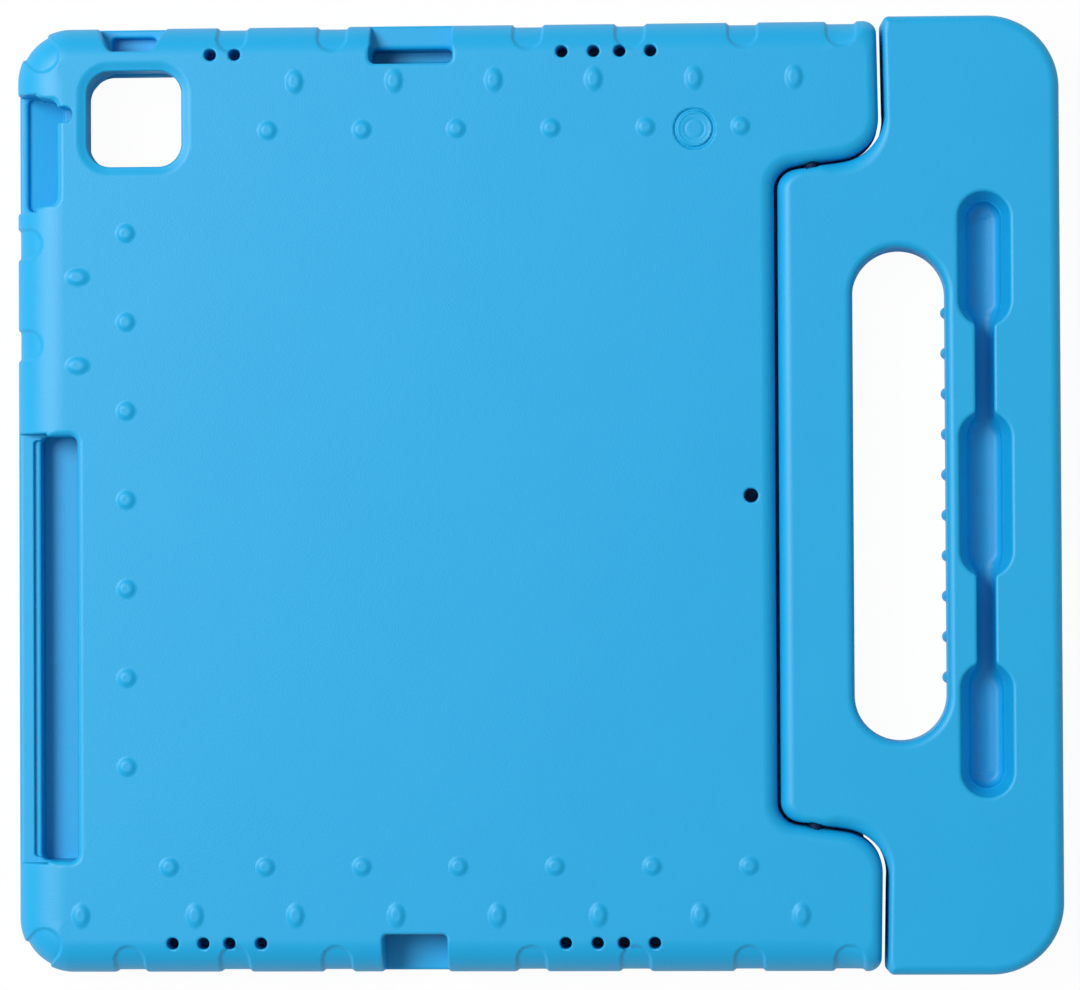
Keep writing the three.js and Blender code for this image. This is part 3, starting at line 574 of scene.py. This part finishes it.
def skin_of(solid, low, high, step):
    """Vertices and quads of a solid's skin: a grid cell that the skin passes through gets one vertex,
    the mean of the points where the skin crosses the cell's edges, and a grid edge that the skin
    crosses gets one quad through the four cells round it."""
    axes = [np.arange(a - 2 * step, b + 3 * step, step, dtype=np.float32) for a, b in zip(low, high)]
    value = solid(axes[0][:, None, None], axes[1][None, :, None], axes[2][None, None, :])
    value = np.ascontiguousarray(value, dtype=np.float32)
    inside = value < 0
    nx, ny, nz = value.shape
    count = np.zeros((nx - 1, ny - 1, nz - 1), np.int8)
    for i, j, k in CORNERS:
        count += inside[i : nx - 1 + i, j : ny - 1 + j, k : nz - 1 + k]
    cells = np.argwhere((count > 0) & (count < 8))
    number = np.full(count.shape, -1, np.int32)
    number[tuple(cells.T)] = np.arange(len(cells))
    at = [value[tuple((cells + corner).T)] for corner in CORNERS]
    total = np.zeros((len(cells), 3))
    crossings = np.zeros(len(cells))
    for a, b in CELL_EDGES:
        crossed = (at[a] < 0) != (at[b] < 0)
        t = np.where(crossed, at[a] / np.where(crossed, at[a] - at[b], 1), 0)
        point = CORNERS[a] + t[:, None] * (CORNERS[b] - CORNERS[a])
        total += point * crossed[:, None]
        crossings += crossed
    start = np.array([a[0] for a in axes])
    points = start + (cells + total / crossings[:, None]) * step
    quads = []
    for axis in range(3):
        u, v = (axis + 1) % 3, (axis + 2) % 3
        ahead = [slice(1, -1)] * 3
        behind = [slice(1, -1)] * 3
        ahead[axis], behind[axis] = slice(1, None), slice(None, -1)
        edge = np.argwhere(inside[tuple(behind)] != inside[tuple(ahead)])
        edge[:, u] += 1
        edge[:, v] += 1
        leaves = inside[tuple(edge.T)]
        ring = []
        for du, dv in ((-1, -1), (0, -1), (0, 0), (-1, 0)):
            cell = edge.copy()
            cell[:, u] += du
            cell[:, v] += dv
            ring.append(number[tuple(cell.T)])
        ring = np.stack(ring, axis=1)
        quads.append(np.where(leaves[:, None], ring, ring[:, ::-1]))
    return points, np.concatenate(quads)


def slope(solid, points, reach):
    """Value and gradient of a solid's formula at points: the mean of four taps at a tetrahedron's
    corners, and the sum of each tap's value times its direction, over four times the reach."""
    taps = np.array([(1, -1, -1), (-1, -1, 1), (-1, 1, -1), (1, 1, 1)], float)
    gradient = np.zeros_like(points)
    mean = np.zeros(len(points))
    for tap in taps:
        x, y, z = (points + tap * reach).T
        value = solid(x, y, z)
        gradient += value[:, None] * tap
        mean += value / 4
    return mean, gradient / (4 * reach)


def mesh_from(name, points, faces):
    """A mesh from arrays: points in metres, and faces that all have the same number of corners."""
    mesh = bpy.data.meshes.new(name)
    mesh.vertices.add(len(points))
    mesh.vertices.foreach_set("co", points.astype(np.float32).ravel())
    mesh.loops.add(faces.size)
    mesh.polygons.add(len(faces))
    mesh.polygons.foreach_set("loop_start", np.arange(0, faces.size, faces.shape[1], dtype=np.int32))
    mesh.polygons.foreach_set("vertices", faces.astype(np.int32).ravel())
    mesh.update(calc_edges=True)
    return mesh


def moulding(name, node, body, solid):
    """A foam moulding from its formula: its skin on a grid, thinned where it is flat, moved onto the
    true surface by value over squared gradient, and shaded with the formula's own normals."""
    low, high = box_mm(node)
    points, quads = skin_of(solid, low, high, GRID_STEP)
    piece = bpy.data.objects.new(name, mesh_from(name, points * MM, quads))
    bpy.context.scene.collection.objects.link(piece)
    share = MOST_TRIANGLES / (2 * len(quads))
    if share < 1:
        thin = piece.modifiers.new("thin", "DECIMATE")
        thin.ratio = share
        thinned = piece.evaluated_get(bpy.context.evaluated_depsgraph_get())
        mesh = bpy.data.meshes.new_from_object(thinned)
        piece.modifiers.clear()
        piece.data = mesh
    mesh = piece.data
    mesh.name = name
    place = np.empty(len(mesh.vertices) * 3, np.float32)
    mesh.vertices.foreach_get("co", place)
    place = place.reshape(-1, 3).astype(float) / MM
    for _ in range(2):
        value, gradient = slope(solid, place, 0.02)
        steep = np.maximum((gradient**2).sum(axis=1), 0.25)
        move = np.clip(value / steep, -0.25, 0.25)
        place -= gradient * move[:, None]
    mesh.vertices.foreach_set("co", (place * MM).astype(np.float32).ravel())
    _, gradient = slope(solid, place, 0.12)
    gradient /= np.maximum(np.linalg.norm(gradient, axis=1), 1e-6)[:, None]
    mesh.polygons.foreach_set("use_smooth", np.ones(len(mesh.polygons), bool))
    mesh.update()
    mesh.normals_split_custom_set_from_vertices(gradient)
    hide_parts(node)
    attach(piece, body)
    return piece


class Shade:
    """A shader socket, with Math nodes for the operators used on it."""

    def __init__(self, tree, socket):
        self.tree = tree
        self.socket = socket

    @classmethod
    def node(cls, tree, kind, settings=None, out=0, **inputs):
        """The output of a new node, after its settings and then its inputs are set. An input is named
        as in Blender, or i and its number."""
        node = tree.nodes.new(kind)
        for key, value in (settings or {}).items():
            setattr(node, key, value)
        for key, value in inputs.items():
            numbered = key[0] == "i" and key[1:].isdigit()
            socket = node.inputs[int(key[1:]) if numbered else key]
            if isinstance(value, cls):
                tree.links.new(value.socket, socket)
            else:
                socket.default_value = value
        return cls(tree, node.outputs[out])

    def maths(self, operation, *others):
        """The output of a new Math node on this socket and others, or numbers."""
        values = {"i0": self}
        for i, other in enumerate(others):
            values[f"i{i + 1}"] = other
        return self.node(self.tree, "ShaderNodeMath", {"operation": operation}, **values)

    def __add__(self, other):
        return self.maths("ADD", other)

    def __mul__(self, other):
        return self.maths("MULTIPLY", other)

    __radd__ = __add__
    __rmul__ = __mul__


def new_material(name):
    """A material, its node tree and its surface shader."""
    material = bpy.data.materials.new(name)
    material.use_nodes = True
    tree = material.node_tree
    return material, tree, tree.nodes["Principled BSDF"]


FOAM_BLUE = (0.005, 0.412, 0.780, 1.0)
FOAM_BLUE_DEEP = (0.003, 0.390, 0.757, 1.0)
# Navy of the hinge pins and sleeves: painted shade, so that the pins read as the shade in the hinge's
# gap
PAINTED_SHADE_NAVY = (0.003, 0.026, 0.085, 1.0)


def foam_material():
    """Moulded foam: a fine leathery grain of cells 0.9 mm wide over a softer unevenness, and a
    colour that drifts a little over the part."""
    material, tree, surface = new_material("blue_foam")
    place = Shade.node(tree, "ShaderNodeTexCoord", out="Object")
    cloud = Shade.node(
        tree, "ShaderNodeTexNoise", Vector=place, Scale=38.0, Detail=3.0, Roughness=0.55
    )
    cells = Shade.node(
        tree, "ShaderNodeTexVoronoi", {"feature": "DISTANCE_TO_EDGE"}, Vector=place, Scale=1150.0
    )
    pores = Shade.node(
        tree, "ShaderNodeTexNoise", Vector=place, Scale=1900.0, Detail=2.0, Roughness=0.6
    )
    colour = Shade.node(
        tree,
        "ShaderNodeMix",
        {"data_type": "RGBA"},
        out=2,
        i0=cloud,
        i6=FOAM_BLUE,
        i7=FOAM_BLUE_DEEP,
    )
    height = cells.maths("MINIMUM", 0.22) * 2.2 + pores * 0.6 + cloud * 2.0
    bump = Shade.node(tree, "ShaderNodeBump", Strength=0.16, Distance=0.00022, Height=height)
    tree.links.new(colour.socket, surface.inputs["Base Color"])
    tree.links.new(bump.socket, surface.inputs["Normal"])
    rough = 0.40 + 0.10 * pores
    tree.links.new(rough.socket, surface.inputs["Roughness"])
    surface.inputs["Specular IOR Level"].default_value = 0.48
    return material


def hinge_material():
    """Moulded plastic with a faint grain, in a navy that is painted shade: the pins sit in the hinge's
    gap, and their dark colour stands in for the shade there.
    """
    material, tree, surface = new_material("hinge_plastic")
    place = Shade.node(tree, "ShaderNodeTexCoord", out="Object")
    grain = Shade.node(tree, "ShaderNodeTexNoise", Vector=place, Scale=2200.0, Detail=2.0)
    bump = Shade.node(tree, "ShaderNodeBump", Strength=0.2, Distance=0.00005, Height=grain)
    tree.links.new(bump.socket, surface.inputs["Normal"])
    # The navy base colour is painted shade for the hinge's gap
    surface.inputs["Base Color"].default_value = PAINTED_SHADE_NAVY
    surface.inputs["Roughness"].default_value = 0.6
    surface.inputs["Specular IOR Level"].default_value = 0.15
    return material


def floor():
    """A white table far wider than the part. Seen directly it is almost plain white, and it keeps a
    faint shadow."""
    half = 6.0
    mesh = bpy.data.meshes.new("table")
    mesh.from_pydata(
        [(-half, -half, 0), (half, -half, 0), (half, half, 0), (-half, half, 0)], [], [(0, 1, 2, 3)]
    )
    table = bpy.data.objects.new("table", mesh)
    table.location.z = -0.0002
    bpy.context.scene.collection.objects.link(table)
    material, tree, surface = new_material("white_table")
    surface.inputs["Base Color"].default_value = (0.86, 0.86, 0.86, 1)
    surface.inputs["Roughness"].default_value = 0.9
    white = Shade.node(tree, "ShaderNodeEmission", Color=(1, 1, 1, 1), Strength=1.0)
    path = tree.nodes.new("ShaderNodeLightPath")
    seen = Shade(tree, path.outputs["Is Camera Ray"]) * 0.965
    mix = Shade.node(tree, "ShaderNodeMixShader", i0=seen, i1=Shade(tree, surface.outputs[0]), i2=white)
    tree.links.new(mix.socket, tree.nodes["Material Output"].inputs["Surface"])
    mesh.materials.append(material)


KEY_PLACE = Vector((-1.70, 0.70, 2.60))
KEY_SIZE = 1.7
KEY_WATTS = 84.0
SURROUND_STRENGTH = 0.345


def lights():
    """A round key light from the upper left that faces the part, and an even white surround."""
    data = bpy.data.lights.new("key", "AREA")
    data.shape = "DISK"
    data.size = KEY_SIZE
    data.energy = KEY_WATTS
    key = bpy.data.objects.new("key", data)
    key.location = KEY_PLACE
    key.rotation_euler = (-KEY_PLACE).to_track_quat("-Z", "Y").to_euler()
    bpy.context.scene.collection.objects.link(key)
    world = bpy.data.worlds.new("surround")
    bpy.context.scene.world = world
    world.use_nodes = True
    background = world.node_tree.nodes["Background"]
    background.inputs["Color"].default_value = (1, 1, 1, 1)
    background.inputs["Strength"].default_value = SURROUND_STRENGTH


# The photograph's view: nearly straight down, a little from the handle's side
VIEW_DISTANCE = 1.6
VIEW_YAW = math.radians(2.9)
VIEW_PITCH = math.radians(-1.15)
VIEW_ROLL = math.radians(0.28)
VIEW_TARGET = Vector((0.0010, 0.0007, 0.012))
PHOTO_WIDTH = 1080
METRES_PER_PIXEL = 0.0003222


def camera():
    """Looks at the middle of the part so that one pixel of the photograph covers METRES_PER_PIXEL."""
    back = Vector(
        (
            math.sin(VIEW_YAW) * math.cos(VIEW_PITCH),
            math.sin(VIEW_PITCH),
            math.cos(VIEW_YAW) * math.cos(VIEW_PITCH),
        )
    )
    right = Vector((0, 1, 0)).cross(back).normalized()
    up = back.cross(right)
    turn = Matrix((right, up, back)).transposed()
    turn = turn @ Matrix.Rotation(-VIEW_ROLL, 3, "Z")
    data = bpy.data.cameras.new("photo_view")
    data.sensor_fit = "HORIZONTAL"
    data.sensor_width = 36.0
    data.lens = VIEW_DISTANCE / METRES_PER_PIXEL / PHOTO_WIDTH * data.sensor_width
    data.clip_end = 50.0
    view = bpy.data.objects.new("photo_view", data)
    view.matrix_world = Matrix.Translation(VIEW_TARGET + back * VIEW_DISTANCE) @ turn.to_4x4()
    bpy.context.scene.collection.objects.link(view)
    bpy.context.scene.camera = view


foam = foam_material()
plastic = hinge_material()
case = moulding("foam_case", "case_shell", "case", case_with_bores)
handle = moulding("foam_handle", "carry_handle", "handle", handle_solid)
for piece in (case, handle):
    piece.data.materials.append(foam)
for name in ("hinge_pin_upper", "hinge_pin_lower", "hinge_sleeve_upper", "hinge_sleeve_lower"):
    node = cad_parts[name]
    node.data.materials.clear()
    node.data.materials.append(plastic)
floor()
lights()
camera()
bpy.context.scene.view_settings.view_transform = "Standard"
